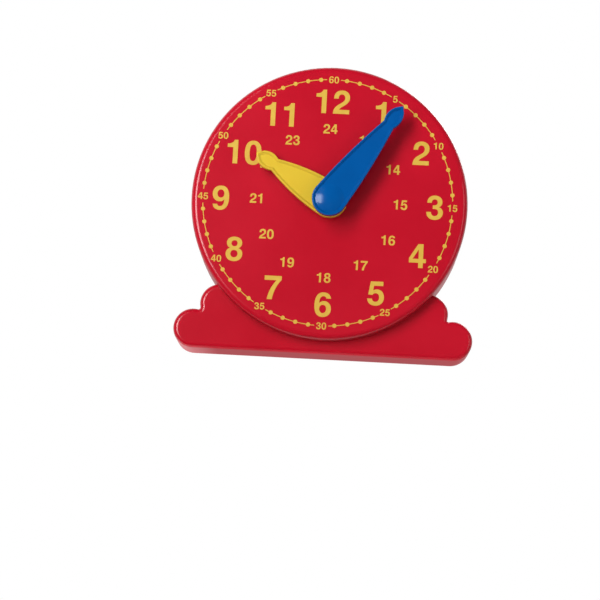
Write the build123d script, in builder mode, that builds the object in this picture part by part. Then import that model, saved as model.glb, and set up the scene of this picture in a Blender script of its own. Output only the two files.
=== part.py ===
from build123d import *

import os
from math import acos, cos, pi, radians, sin, sqrt, tan

# Geared teaching clock. Millimetres. X to the right, Y from the viewer into the clock, Z up.
# The origin is the middle of the flat underside. Depths are counted from the dial face.

# ---------------------------------------------------------------- body
disc_radius = 55.0          # round dial
disc_gap = 5.0              # lowest point of the dial above the table
disc_proud = 6.0            # dial face in front of the base panel
base_depth = 22.0           # base panel's front to the rear rim
base_half_width = 59.5
lobe_radius = 7.8           # all four scallops
upper_lobe_x = 41.6
upper_lobe_z = 18.1
notch_radius = 0.8          # rounding between two scallops
wall = 2.4
disc_edge_radius = 2.4      # rounding of the dial's rim
base_edge_radius = 1.9      # rounding of the base panel's front edge
rim_lip = 1.2               # wall left round the cover's seat

# ---------------------------------------------------------------- cover and its screws
cover_thickness = 2.0
cover_gap = 0.15            # round the cover's edge
cover_panel_radius = 38.0
cover_panel_depth = 0.5
boss_radius = 4.0
boss_room = 1.0             # from a boss to the wall beside it
cup_wall = 1.6
cup_depth = 3.0             # from the cover's back to the boss
screw_radius = 1.45
screw_head_radius = 2.8
screw_head_height = 1.9
screw_length = 9.0          # below the head
screw_hole_gap = 0.03       # a screw in its moulded hole
head_gap = 0.4              # a screw's head in its cup
recess_width = 0.8          # cross recess of every screw
recess_depth = 1.0

# ---------------------------------------------------------------- gears
gear_module = 0.8
pressure_angle = radians(20)
minute_pinion_teeth = 15
intermediate_wheel_teeth = 45
intermediate_pinion_teeth = 12
hour_wheel_teeth = 48
first_pair_shift = 0.15     # profile shift of the pinion, taken off its wheel
second_pair_shift = 0.30
tip_clearance = 0.25        # share of the module
backlash = 0.11             # tooth thinning of each gear
wheel_width = 3.0
web_recess = 0.7            # sunk into both faces of a wheel
wheel_rim = 3.2             # from a wheel's teeth roots to its web
web_hole_radius = 2.6
web_hole_count = 6
hub_step = 0.4              # hub or pinion past the wheel's face beside it
pinion_hub_height = 1.4

# ---------------------------------------------------------------- spindles
arbor_radius = 2.0
arbor_flat = 1.55           # from the arbor's centre to its flat
arbor_chamfer = 0.3
axle_radius = 1.5
axle_boss_radius = 4.0
axle_boss_height = 0.6
axle_seat_skin = 1.2        # dial wall left in front of the axle
pipe_radius = 4.0
pipe_flat = 3.4             # from the pipe's centre to each of its two flats
running_gap = 0.06          # radial, a spindle that turns in its bore
press_gap = 0.02            # radial, a spindle fixed in its bore
end_gap = 0.2               # along the axis, between pieces that turn past each other
bush_wall = 2.0
bush_flange = 1.4
bush_flange_radius = 8.0
hub_wall = 2.4

# ---------------------------------------------------------------- hands
hour_hand_height = 3.0      # its underside above the dial
hour_hand_thickness = 2.6
hand_air = 1.6              # from the hour hand's rim to the minute hand's underside
minute_hand_thickness = 2.8
minute_hand_length = 47.0   # pivot to tip
minute_pivot_radius = 6.95
minute_side_start = 3.0     # degrees up the pivot circle; less bows the long sides more
minute_neck = (2.45, 37.7)  # half its width, and its distance from the pivot
minute_spade = (3.2, 40.8)
minute_shoulder = (1.95, 44.9)
minute_hand_angle = 35.5    # clockwise from twelve, as the clock stands
hour_hand_length = 34.7
hour_pivot_radius = 7.0
hour_side_start = 0.5
hour_neck = (2.6, 25.9)
hour_spade = (3.4, 28.8)
hour_shoulder = (2.45, 32.4)
hour_hand_angle = 300.3
hand_rim_width = 1.4        # from the outline to the foot of the rim's inner slope
hand_rim_slope = 0.75       # width of that slope
hand_rim_height = 0.65
hand_edge_radius = 0.35
hand_corner_radius = 0.5    # neck, shoulder and tip
dome_height = 0.95          # over the sunk field of the minute hand's pivot end
dome_inset = 1.4            # from the pivot end's outline
socket_skin = 1.0           # minute hand left over the arbor's end
hub_drop = 2.4              # hour hand's hub below its underside
boss_drop = 0.6             # minute hand's boss below its underside
minute_boss_radius = 4.6

# ---------------------------------------------------------------- bridge and small parts
bridge_thickness = 2.2
bridge_pad_radius = 5.2
post_radius = 3.5
post_room = 1.6             # from a post to the nearest wheel
post_angle = 30.0           # lower posts, below the intermediate axle's level
bridge_screw_radius = 1.15
bridge_head_radius = 2.2
bridge_head_height = 1.4
bridge_screw_length = 8.0
washer_thickness = 0.6
spacer_thickness = 0.8
washer_width = 2.4          # radial
spring_thickness = 0.4
spring_height = 1.0
clip_thickness = 0.6
clip_width = 1.9            # radial
clip_bite = 0.4             # depth of the groove that a clip sits in
clip_mouth = 2.6            # opening of the arbor's clip
spindle_tail = 1.1          # spindle past its clip

# ---------------------------------------------------------------- places
dial_height = disc_radius + disc_gap
dial_y = -(base_depth / 2 + disc_proud)
body_back = disc_proud + base_depth
lower_lobe_x = base_half_width - lobe_radius
lower_lobe_z = lobe_radius
lobe_centres = [
    (side * x, z)
    for side in (-1, 1)
    for x, z in ((lower_lobe_x, lower_lobe_z), (upper_lobe_x, upper_lobe_z))
]
centre_distance = gear_module * (minute_pinion_teeth + intermediate_wheel_teeth) / 2
axle_height = dial_height - centre_distance
cup_radius = screw_head_radius + head_gap + cup_wall
boss_polar = disc_radius - wall - cup_radius - boss_room
boss_high = (boss_polar * cos(pi / 4), dial_height + boss_polar * sin(pi / 4))
boss_low = (lower_lobe_x - lobe_radius - boss_room, wall + cup_radius + boss_room)
high_screws, low_screws = ([(-x, z), (x, z)] for x, z in (boss_high, boss_low))
cover_screw_places = high_screws + low_screws

# Depths behind the dial face, layer by layer; in front of it they are negative.
flange_back = wall + bush_flange
hour_hub_front = flange_back + end_gap
hour_wheel_front = hour_hub_front + hub_step
hour_wheel_back = hour_wheel_front + wheel_width
hour_spacer_front = hour_wheel_back + end_gap
minute_pinion_front = hour_spacer_front + spacer_thickness + end_gap
intermediate_wheel_front = minute_pinion_front - hub_step
intermediate_wheel_back = intermediate_wheel_front + wheel_width
pinion_teeth_back = intermediate_wheel_back + hub_step
pinion_back = pinion_teeth_back + pinion_hub_height
friction_washer_back = pinion_back + washer_thickness
spring_front = friction_washer_back + end_gap / 2
spring_back = spring_front + spring_height
bridge_front = spring_back + washer_thickness
bridge_back = bridge_front + bridge_thickness
bush_tail = bridge_back + end_gap
arbor_washer_front = bush_tail + end_gap
arbor_clip_front = arbor_washer_front + washer_thickness
arbor_clip_back = arbor_clip_front + clip_thickness
arbor_back = arbor_clip_back + spindle_tail
axle_boss_back = wall + axle_boss_height
intermediate_pinion_front = axle_boss_back + washer_thickness + end_gap
intermediate_hub_back = bridge_front - washer_thickness - end_gap
axle_clip_back = bridge_back + clip_thickness
hour_hand_back = -hour_hand_height
hour_hand_front = hour_hand_back - hour_hand_thickness
hour_hub_back = hour_hand_back + hub_drop
pipe_front = hour_hand_front + end_gap
hand_spacer_back = hour_hand_front - end_gap
minute_hand_back = hour_hand_front - hand_air
minute_boss_back = minute_hand_back + boss_drop
minute_hand_front = minute_hand_back - minute_hand_thickness
dome_front = minute_hand_front + hand_rim_height - dome_height
arbor_front = dome_front + socket_skin
bore_radius = arbor_radius + running_gap
axle_bore = axle_radius + running_gap

os.makedirs("parts", exist_ok=True)


def facing(depth, height=0.0, turn=0.0):
    """Plane across the clock at a depth behind the dial face, seen from the front.

    Local x is +X and local y is +Z when turn is 0; turn is clockwise, in degrees.
    """
    direction = (cos(radians(turn)), 0, -sin(radians(turn)))
    return Plane(origin=(0, dial_y + depth, height), x_dir=direction, z_dir=(0, -1, 0))


def pivot(height):
    """Axis of a spindle at a height, running into the clock."""
    return Axis((0, 0, height), (0, 1, 0))


def disc_outline(inset):
    """Dial disc, drawn in the active sketch, smaller by the inset all round."""
    with Locations((0, dial_height)):
        Circle(disc_radius - inset)


def base_outline(inset):
    """Scalloped base, drawn in the active sketch, smaller by the inset all round."""
    half_profile = [
        (lower_lobe_x, inset),
        (lower_lobe_x, lower_lobe_z),
        (upper_lobe_x, upper_lobe_z),
        (upper_lobe_x, upper_lobe_z + lobe_radius - inset),
    ]
    mirrored = [(-x, z) for x, z in reversed(half_profile)]
    Polygon(*half_profile, *mirrored, align=None)
    with Locations(*lobe_centres):
        Circle(lobe_radius - inset)


def notch_point():
    """Outer crossing of the right-hand lower and upper scallop circles."""
    across = upper_lobe_x - lower_lobe_x
    rise = upper_lobe_z - lower_lobe_z
    span = sqrt(across**2 + rise**2)
    reach = sqrt(lobe_radius**2 - (span / 2) ** 2)
    middle_x = (lower_lobe_x + upper_lobe_x) / 2
    middle_z = (lower_lobe_z + upper_lobe_z) / 2
    return middle_x + rise / span * reach, middle_z - across / span * reach


def cylinder(radius, front, back, height, places=((0, 0),), mode=Mode.ADD):
    """Round bar or hole along Y in the active part, between two depths."""
    with BuildSketch(facing(back, height)) as section:
        with Locations(*places):
            Circle(radius)
    extrude(section.sketch, amount=back - front, mode=mode)


def ring(outer, inner, front, back, height):
    """Washer or plain bush section as a part of its own."""
    with BuildPart() as piece:
        with BuildSketch(facing(back, height)):
            Circle(outer)
            Circle(inner, mode=Mode.SUBTRACT)
        extrude(amount=back - front)
    return piece.part


def polar(radius, angle):
    """Point at a radius and an angle in radians."""
    return radius * cos(angle), radius * sin(angle)


def gear_root(teeth, shift):
    """Radius at the bottom of a gear's tooth gaps."""
    return gear_module * (teeth / 2 - 1 - tip_clearance + shift)


def gear_tip(teeth, shift):
    """Outer radius of a gear."""
    return gear_module * (teeth / 2 + 1 + shift)


def gear_tooth(teeth, shift):
    """One involute tooth about local +x, as a sketch of its own."""
    pitch_radius = gear_module * teeth / 2
    base_radius = pitch_radius * cos(pressure_angle)
    tip = gear_tip(teeth, shift)
    foot = gear_root(teeth, shift) - gear_module * tip_clearance
    thickness = gear_module * (pi / 2 + 2 * shift * tan(pressure_angle)) - backlash
    at_pitch = thickness / (2 * pitch_radius) + tan(pressure_angle) - pressure_angle

    def half_angle(radius):
        roll = acos(base_radius / radius)
        return at_pitch - (tan(roll) - roll)

    flank = [base_radius, (base_radius + tip) / 2, tip]
    low = [polar(radius, -half_angle(radius)) for radius in flank]
    high = [polar(radius, half_angle(radius)) for radius in reversed(flank)]
    foot_low = polar(foot, -half_angle(base_radius))
    foot_high = polar(foot, half_angle(base_radius))
    with BuildSketch() as tooth:
        with BuildLine():
            Line(foot_low, low[0])
            ThreePointArc(*low)
            ThreePointArc(low[2], (tip, 0), high[0])
            ThreePointArc(*high)
            Line(high[2], foot_high)
            Line(foot_high, foot_low)
        make_face()
    return tooth.sketch


def gear_blank(teeth, shift, first_tooth):
    """Toothed outline of a gear with one tooth centred on an angle in degrees."""
    tooth = gear_tooth(teeth, shift)
    with BuildSketch() as blank:
        Circle(gear_root(teeth, shift))
        with PolarLocations(0, teeth, start_angle=first_tooth):
            add(tooth)
    return blank.sketch


def hand_outline(pivot_radius, side_start, neck, spade, shoulder, length, inset=0.0):
    """Hand pointing along local +y from its pivot, as a sketch of its own.

    The pivot circle runs up to side_start, in degrees, and the bowed side leaves it there.
    Neck, spade and shoulder are pairs: half the width, and the distance from the pivot.
    An inset draws the hand smaller all round.
    """
    start = radians(side_start)
    radius = pivot_radius - inset
    side_foot = polar(radius, start)
    slope = (length - shoulder[1]) / shoulder[0]
    slant = sqrt(1 + slope**2)
    tip = (0, length - inset * slant)
    inner_neck, inner_spade = ((point[0] - inset, point[1]) for point in (neck, spade))
    inner_shoulder = (shoulder[0] - inset, tip[1] - (shoulder[0] - inset) * slope)
    with BuildSketch() as outline:
        with BuildLine():
            ThreePointArc((0, -radius), polar(radius, -pi / 4), side_foot)
            TangentArc(side_foot, inner_neck, tangent=(-sin(start), cos(start)))
            ThreePointArc(inner_neck, inner_spade, inner_shoulder)
            Line(inner_shoulder, tip)
            mirror(about=Plane.YZ)
        make_face()
        corners = [corner for corner in outline.vertices() if corner.Y > neck[1] - hand_corner_radius]
        fillet(corners, radius=hand_corner_radius)
    return outline.sketch


def hand_plate(sizes, back, front, turn):
    """Hand with a raised rim, rounded outside and sloping inside to a sunk field."""
    outline = hand_outline(*sizes)
    with BuildPart() as plate:
        with BuildSketch(facing(back, dial_height, turn)):
            add(outline)
        extrude(amount=back - front)
        fillet(plate.faces().sort_by(Axis.Y)[0].edges(), radius=hand_edge_radius)
        for depth, inset in (
            (front + hand_rim_height, hand_rim_width),
            (front, hand_rim_width - hand_rim_slope),
        ):
            with BuildSketch(facing(depth, dial_height, turn)):
                add(hand_outline(*sizes, inset=inset))
        loft(ruled=True, mode=Mode.SUBTRACT)
    return plate.part


def pan_screws(places, seat, shank_radius, length, head_radius, head_height):
    """Self-tapping screws driven from the rear, their heads seated at a depth."""
    with BuildPart() as screws:
        cylinder(shank_radius, seat - length, seat, 0, places)
        cylinder(head_radius, seat, seat + head_height, 0, places)
        tips = screws.faces().group_by(Axis.Y)[0].edges()
        chamfer(tips, length=shank_radius / 2)
        rims = screws.faces().group_by(Axis.Y)[-1].edges()
        fillet(rims, radius=head_height / 2)
        with BuildSketch(facing(seat + head_height)):
            with Locations(*places):
                Rectangle(head_radius, recess_width)
                Rectangle(recess_width, head_radius)
        extrude(amount=recess_depth, mode=Mode.SUBTRACT)
    return screws.part


def save(piece, label):
    """Name a finished piece and write it."""
    piece.label = label
    export_step(piece, f"parts/{label}.step")


# ---------------------------------------------------------------- gear outlines
# The axle is straight below the arbor. Each pinion has a tooth on the line between them,
# and each wheel has a gap there.
upward = 90.0
half_hour_pitch = 180 / hour_wheel_teeth
half_middle_pitch = 180 / intermediate_wheel_teeth
minute_teeth = gear_blank(minute_pinion_teeth, first_pair_shift, -upward)
middle_wheel_teeth = gear_blank(intermediate_wheel_teeth, -first_pair_shift, upward + half_middle_pitch)
middle_pinion_teeth = gear_blank(intermediate_pinion_teeth, second_pair_shift, upward)
hour_teeth = gear_blank(hour_wheel_teeth, -second_pair_shift, -upward + half_hour_pitch)
middle_root = gear_root(intermediate_wheel_teeth, -first_pair_shift)
middle_tip = gear_tip(intermediate_wheel_teeth, -first_pair_shift)
middle_pinion_tip = gear_tip(intermediate_pinion_teeth, second_pair_shift)
hour_root = gear_root(hour_wheel_teeth, -second_pair_shift)
hour_tip = gear_tip(hour_wheel_teeth, -second_pair_shift)

upper_post_x = hour_tip + post_room + post_radius
lower_post_reach = middle_tip + post_room + post_radius
lower_post_x = lower_post_reach * cos(radians(post_angle))
lower_post_z = axle_height - lower_post_reach * sin(radians(post_angle))
post_places = [
    (side * x, z)
    for side in (-1, 1)
    for x, z in ((upper_post_x, dial_height), (lower_post_x, lower_post_z))
]

# ---------------------------------------------------------------- front housing
cover_front = body_back - cover_thickness
cup_front = body_back - cup_depth - cup_wall
bush_radius = pipe_radius + running_gap + bush_wall
notch_x, notch_z = notch_point()

with BuildPart() as front_housing:
    with BuildSketch(facing(body_back)) as base_sketch:
        base_outline(0)
        notches = [
            vertex
            for vertex in base_sketch.sketch_local.vertices()
            if abs(abs(vertex.X) - notch_x) + abs(vertex.Y - notch_z) < notch_radius
        ]
        fillet(notches, radius=notch_radius)
    extrude(amount=base_depth)
    fillet(front_housing.faces().sort_by(Axis.Y)[0].edges(), radius=base_edge_radius)
    with BuildSketch(facing(body_back)):
        disc_outline(0)
    extrude(amount=body_back)
    fillet(front_housing.faces().sort_by(Axis.Y)[0].edges(), radius=disc_edge_radius)
    with BuildSketch(facing(body_back)):
        base_outline(wall)
    extrude(amount=base_depth - wall, mode=Mode.SUBTRACT)
    with BuildSketch(facing(body_back)):
        disc_outline(wall)
    extrude(amount=body_back - wall, mode=Mode.SUBTRACT)
    with BuildSketch(facing(body_back)):
        base_outline(rim_lip)
        disc_outline(rim_lip)
    extrude(amount=cover_thickness, mode=Mode.SUBTRACT)
    cylinder(boss_radius, wall / 2, cup_front, 0, high_screws)
    cylinder(boss_radius, disc_proud + wall / 2, cup_front, 0, low_screws)
    cylinder(post_radius, wall / 2, bridge_front, 0, post_places)
    cylinder(axle_boss_radius, wall / 2, axle_boss_back, axle_height)
    cylinder(bush_radius + press_gap, 0, wall, dial_height, mode=Mode.SUBTRACT)
    cylinder(axle_radius + press_gap, axle_seat_skin, axle_boss_back, axle_height, mode=Mode.SUBTRACT)
    screw_hole = screw_radius + screw_hole_gap
    screw_tip = cup_front + cup_wall - screw_length - end_gap
    cylinder(screw_hole, screw_tip, cup_front, 0, cover_screw_places, Mode.SUBTRACT)
    post_hole = bridge_screw_radius + screw_hole_gap
    post_hole_tip = bridge_back - bridge_screw_length - end_gap
    cylinder(post_hole, post_hole_tip, bridge_front, 0, post_places, Mode.SUBTRACT)
save(front_housing.part, "front_housing")

# ---------------------------------------------------------------- rear cover
with BuildPart() as rear_cover:
    with BuildSketch(facing(body_back)):
        base_outline(rim_lip + cover_gap)
        disc_outline(rim_lip + cover_gap)
    extrude(amount=cover_thickness)
    cylinder(cup_radius, cup_front, cover_front, 0, cover_screw_places)
    cup_floor = cup_front + cup_wall
    cylinder(screw_head_radius + head_gap, cup_floor, body_back, 0, cover_screw_places, Mode.SUBTRACT)
    cylinder(screw_radius + head_gap, cup_front, cup_floor, 0, cover_screw_places, Mode.SUBTRACT)
    with BuildSketch(facing(body_back, dial_height)):
        Circle(cover_panel_radius)
    extrude(amount=cover_panel_depth, mode=Mode.SUBTRACT)
save(rear_cover.part, "rear_cover")

cover_screws = pan_screws(
    cover_screw_places, cup_floor, screw_radius, screw_length, screw_head_radius, screw_head_height
)
save(cover_screws, "cover_screws")

# ---------------------------------------------------------------- bridge and its bush
arbor_bush_radius = bore_radius + bush_wall
with BuildPart() as gear_bridge:
    with BuildSketch(facing(bridge_back)) as bridge_sketch:
        with Locations(*post_places):
            Circle(bridge_pad_radius)
        make_hull()
        window_half = (lower_post_x - bridge_pad_radius) / 2
        window_height = (dial_height - axle_height) / 2
        window_middle = (dial_height + axle_height) / 2
        with Locations((-lower_post_x / 2, window_middle), (lower_post_x / 2, window_middle)):
            RectangleRounded(window_half, window_height, window_half / 3, mode=Mode.SUBTRACT)
    extrude(amount=bridge_thickness)
    cylinder(arbor_bush_radius + press_gap, bridge_front, bridge_back, dial_height, mode=Mode.SUBTRACT)
    cylinder(axle_radius + press_gap, bridge_front, bridge_back, axle_height, mode=Mode.SUBTRACT)
    cylinder(bridge_screw_radius + head_gap, bridge_front, bridge_back, 0, post_places, Mode.SUBTRACT)
save(gear_bridge.part, "gear_bridge")

bridge_screws = pan_screws(
    post_places, bridge_back, bridge_screw_radius, bridge_screw_length, bridge_head_radius, bridge_head_height
)
save(bridge_screws, "bridge_screws")

with BuildPart() as arbor_bush:
    cylinder(arbor_bush_radius, bridge_front, bush_tail, dial_height)
    cylinder(arbor_bush_radius + bush_wall, spring_back, bridge_front, dial_height)
    cylinder(bore_radius, spring_back, bush_tail, dial_height, mode=Mode.SUBTRACT)
save(arbor_bush.part, "arbor_bush")

with BuildPart() as dial_bush:
    cylinder(bush_radius, -end_gap, wall, dial_height)
    cylinder(bush_flange_radius, wall, flange_back, dial_height)
    cylinder(pipe_radius + running_gap, -end_gap, flange_back, dial_height, mode=Mode.SUBTRACT)
save(dial_bush.part, "dial_bush")

# ---------------------------------------------------------------- hour wheel and its pipe
def web_cut(front, back, height, outer, hub):
    """Sink both faces of a wheel between its rim and its hub, and pierce the web."""
    for face, sign in ((front, -1), (back, 1)):
        with BuildSketch(facing(face, height)) as web:
            Circle(outer)
            Circle(hub, mode=Mode.SUBTRACT)
        extrude(web.sketch, amount=web_recess * sign, mode=Mode.SUBTRACT)
    with BuildSketch(facing(back, height)) as holes:
        with PolarLocations((outer + hub) / 2, web_hole_count):
            Circle(web_hole_radius)
    extrude(holes.sketch, amount=back - front, mode=Mode.SUBTRACT)


hour_hub_radius = pipe_radius + hub_wall
with BuildPart() as hour_wheel:
    with BuildSketch(facing(hour_wheel_back, dial_height)):
        add(hour_teeth)
    extrude(amount=wheel_width)
    web_cut(hour_wheel_front, hour_wheel_back, dial_height, hour_root - wheel_rim, hour_hub_radius)
    cylinder(hour_hub_radius, hour_hub_front, hour_wheel_front, dial_height)
    with BuildSketch(facing(hour_hub_front, dial_height)):
        Circle(pipe_radius)
    extrude(amount=hour_hub_front - hour_hub_back)
    with BuildSketch(facing(hour_hub_back, dial_height, hour_hand_angle)):
        Circle(pipe_radius)
        Rectangle(2 * pipe_flat, 2 * pipe_radius, mode=Mode.INTERSECT)
    extrude(amount=hour_hub_back - pipe_front)
    cylinder(bore_radius, pipe_front, hour_wheel_back, dial_height, mode=Mode.SUBTRACT)
save(hour_wheel.part, "hour_wheel")

# ---------------------------------------------------------------- intermediate gear and its axle
middle_hub_radius = axle_radius + hub_wall
with BuildPart() as intermediate_gear:
    with BuildSketch(facing(intermediate_wheel_back, axle_height)):
        add(middle_wheel_teeth)
    extrude(amount=wheel_width)
    web_outer = middle_root - wheel_rim
    web_cut(intermediate_wheel_front, intermediate_wheel_back, axle_height, web_outer, middle_pinion_tip)
    with BuildSketch(facing(intermediate_wheel_front, axle_height)):
        add(middle_pinion_teeth)
    extrude(amount=intermediate_wheel_front - intermediate_pinion_front)
    cylinder(middle_hub_radius, intermediate_wheel_back, intermediate_hub_back, axle_height)
    cylinder(axle_bore, intermediate_pinion_front, intermediate_hub_back, axle_height, mode=Mode.SUBTRACT)
save(intermediate_gear.part, "intermediate_gear")

with BuildPart() as intermediate_axle:
    cylinder(axle_radius, axle_seat_skin, axle_clip_back + spindle_tail, axle_height)
    chamfer(intermediate_axle.faces().sort_by(Axis.Y)[-1].edges(), length=arbor_chamfer)
save(intermediate_axle.part, "intermediate_axle")

# ---------------------------------------------------------------- minute arbor and its pinion
with BuildPart() as minute_arbor:
    cylinder(arbor_radius, arbor_front, arbor_back, dial_height)
    chamfer(minute_arbor.faces().sort_by(Axis.Y)[-1].edges(), length=arbor_chamfer)
    for front, back in ((arbor_front, minute_boss_back), (minute_pinion_front, pinion_back)):
        with BuildSketch(facing(back, dial_height, minute_hand_angle)):
            with Locations((arbor_flat + arbor_radius / 2, 0)):
                Rectangle(arbor_radius, 2 * arbor_radius)
        extrude(amount=back - front, mode=Mode.SUBTRACT)
    with BuildSketch(facing(arbor_clip_back, dial_height)):
        Circle(arbor_radius)
        Circle(arbor_radius - clip_bite, mode=Mode.SUBTRACT)
    extrude(amount=clip_thickness, mode=Mode.SUBTRACT)
save(minute_arbor.part, "minute_arbor")


def flatted_bore(front, back):
    """Cut the bore that holds the arbor and its flat."""
    with BuildSketch(facing(back, dial_height, minute_hand_angle)) as section:
        Circle(arbor_radius + press_gap)
        with Locations((arbor_flat + press_gap + arbor_radius / 2, 0)):
            Rectangle(arbor_radius, 3 * arbor_radius, mode=Mode.SUBTRACT)
    extrude(section.sketch, amount=back - front, mode=Mode.SUBTRACT)


with BuildPart() as minute_pinion:
    with BuildSketch(facing(pinion_teeth_back, dial_height)):
        add(minute_teeth)
    extrude(amount=pinion_teeth_back - minute_pinion_front)
    cylinder(arbor_radius + hub_wall, pinion_teeth_back, pinion_back, dial_height)
    flatted_bore(minute_pinion_front, pinion_back)
save(minute_pinion.part, "minute_pinion")

# ---------------------------------------------------------------- hands
minute_sizes = (
    minute_pivot_radius, minute_side_start, minute_neck, minute_spade, minute_shoulder, minute_hand_length
)
hour_sizes = (hour_pivot_radius, hour_side_start, hour_neck, hour_spade, hour_shoulder, hour_hand_length)

with BuildPart() as minute_hand:
    add(hand_plate(minute_sizes, minute_hand_back, minute_hand_front, minute_hand_angle))
    dome_radius = minute_pivot_radius - dome_inset
    dome_base = minute_hand_front + hand_rim_height
    with BuildSketch(Plane.XY.offset(dial_height)):
        with BuildLine():
            Line((0, dial_y + dome_base), (0, dial_y + dome_front))
            RadiusArc(
                (0, dial_y + dome_front),
                (dome_radius, dial_y + dome_base),
                -(dome_radius**2 + dome_height**2) / (2 * dome_height),
            )
            Line((dome_radius, dial_y + dome_base), (0, dial_y + dome_base))
        make_face()
    revolve(axis=pivot(dial_height))
    cylinder(minute_boss_radius, minute_boss_back, minute_hand_back, dial_height)
    flatted_bore(arbor_front, minute_boss_back)
save(minute_hand.part, "minute_hand")

with BuildPart() as hour_hand:
    add(hand_plate(hour_sizes, hour_hand_back, hour_hand_front, hour_hand_angle))
    cylinder(hour_hub_radius, hour_hand_front, hour_hub_back, dial_height)
    with BuildSketch(facing(hour_hub_back, dial_height, hour_hand_angle)):
        Circle(pipe_radius + press_gap)
        Rectangle(2 * (pipe_flat + press_gap), 3 * pipe_radius, mode=Mode.INTERSECT)
    extrude(amount=hour_hub_back - hour_hand_front, mode=Mode.SUBTRACT)
save(hour_hand.part, "hour_hand")

# ---------------------------------------------------------------- washers, spring and clips
washers = {
    "hand_spacer": (bore_radius, hand_spacer_back - washer_thickness, hand_spacer_back, dial_height),
    "wheel_spacer": (bore_radius, hour_spacer_front, hour_spacer_front + spacer_thickness, dial_height),
    "friction_washer": (bore_radius, pinion_back, friction_washer_back, dial_height),
    "arbor_washer": (bore_radius, arbor_washer_front, arbor_clip_front, dial_height),
    "axle_front_washer": (axle_bore, axle_boss_back, axle_boss_back + washer_thickness, axle_height),
    "axle_rear_washer": (axle_bore, bridge_front - washer_thickness, bridge_front, axle_height),
}
for label, (bore, front, back, height) in washers.items():
    save(ring(bore + washer_width, bore, front, back, height), label)
axle_clip = ring(axle_radius + clip_width, axle_radius + press_gap, bridge_back, axle_clip_back, axle_height)
save(axle_clip, "axle_clip")

with BuildPart() as friction_spring:
    inner = bore_radius + running_gap
    outer = bore_radius + washer_width
    front_y = dial_y + spring_front
    back_y = dial_y + spring_back
    with BuildSketch(Plane.XY.offset(dial_height)):
        with BuildLine():
            Polyline(
                (inner, back_y - spring_thickness),
                (outer, front_y),
                (outer, front_y + spring_thickness),
                (inner, back_y),
                close=True,
            )
        make_face()
    revolve(axis=pivot(dial_height))
save(friction_spring.part, "friction_spring")

with BuildPart() as arbor_clip:
    with BuildSketch(facing(arbor_clip_back, dial_height)):
        Circle(arbor_radius + clip_width)
        Circle(arbor_radius - clip_bite + press_gap, mode=Mode.SUBTRACT)
        with Locations((0, -(arbor_radius + clip_width) / 2)):
            Rectangle(clip_mouth, arbor_radius + clip_width, mode=Mode.SUBTRACT)
    extrude(amount=clip_thickness)
save(arbor_clip.part, "arbor_clip")
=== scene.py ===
"""Finishes, dial print and studio for a pupil's geared teaching clock.

Metres, in the clock's own frame: X to the right, Y from the viewer into the clock, Z up,
with the origin in the middle of the flat underside.
"""

from __future__ import annotations

import logging
import math
from collections.abc import Callable, Iterable, Sequence
from dataclasses import dataclass
from enum import Enum

import bmesh
import bpy
from mathutils import Matrix, Vector


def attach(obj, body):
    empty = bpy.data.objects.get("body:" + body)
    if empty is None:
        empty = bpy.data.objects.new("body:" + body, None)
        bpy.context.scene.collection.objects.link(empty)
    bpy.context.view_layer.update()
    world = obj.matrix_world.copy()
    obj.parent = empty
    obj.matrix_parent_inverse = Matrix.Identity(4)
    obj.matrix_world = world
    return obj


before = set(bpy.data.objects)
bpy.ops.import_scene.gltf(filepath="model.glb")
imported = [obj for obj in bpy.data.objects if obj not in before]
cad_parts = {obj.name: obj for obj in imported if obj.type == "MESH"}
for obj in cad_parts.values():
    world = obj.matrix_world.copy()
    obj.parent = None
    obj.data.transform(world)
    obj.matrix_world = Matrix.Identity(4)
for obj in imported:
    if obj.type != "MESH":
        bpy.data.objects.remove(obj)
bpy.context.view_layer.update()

LOG = logging.getLogger("teaching_clock")
MM = 0.001
Colour = tuple[float, float, float]
Point = tuple[float, float]

DIGIT_HEIGHT = 710.0
DIGIT_ADVANCE = 556.0

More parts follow.
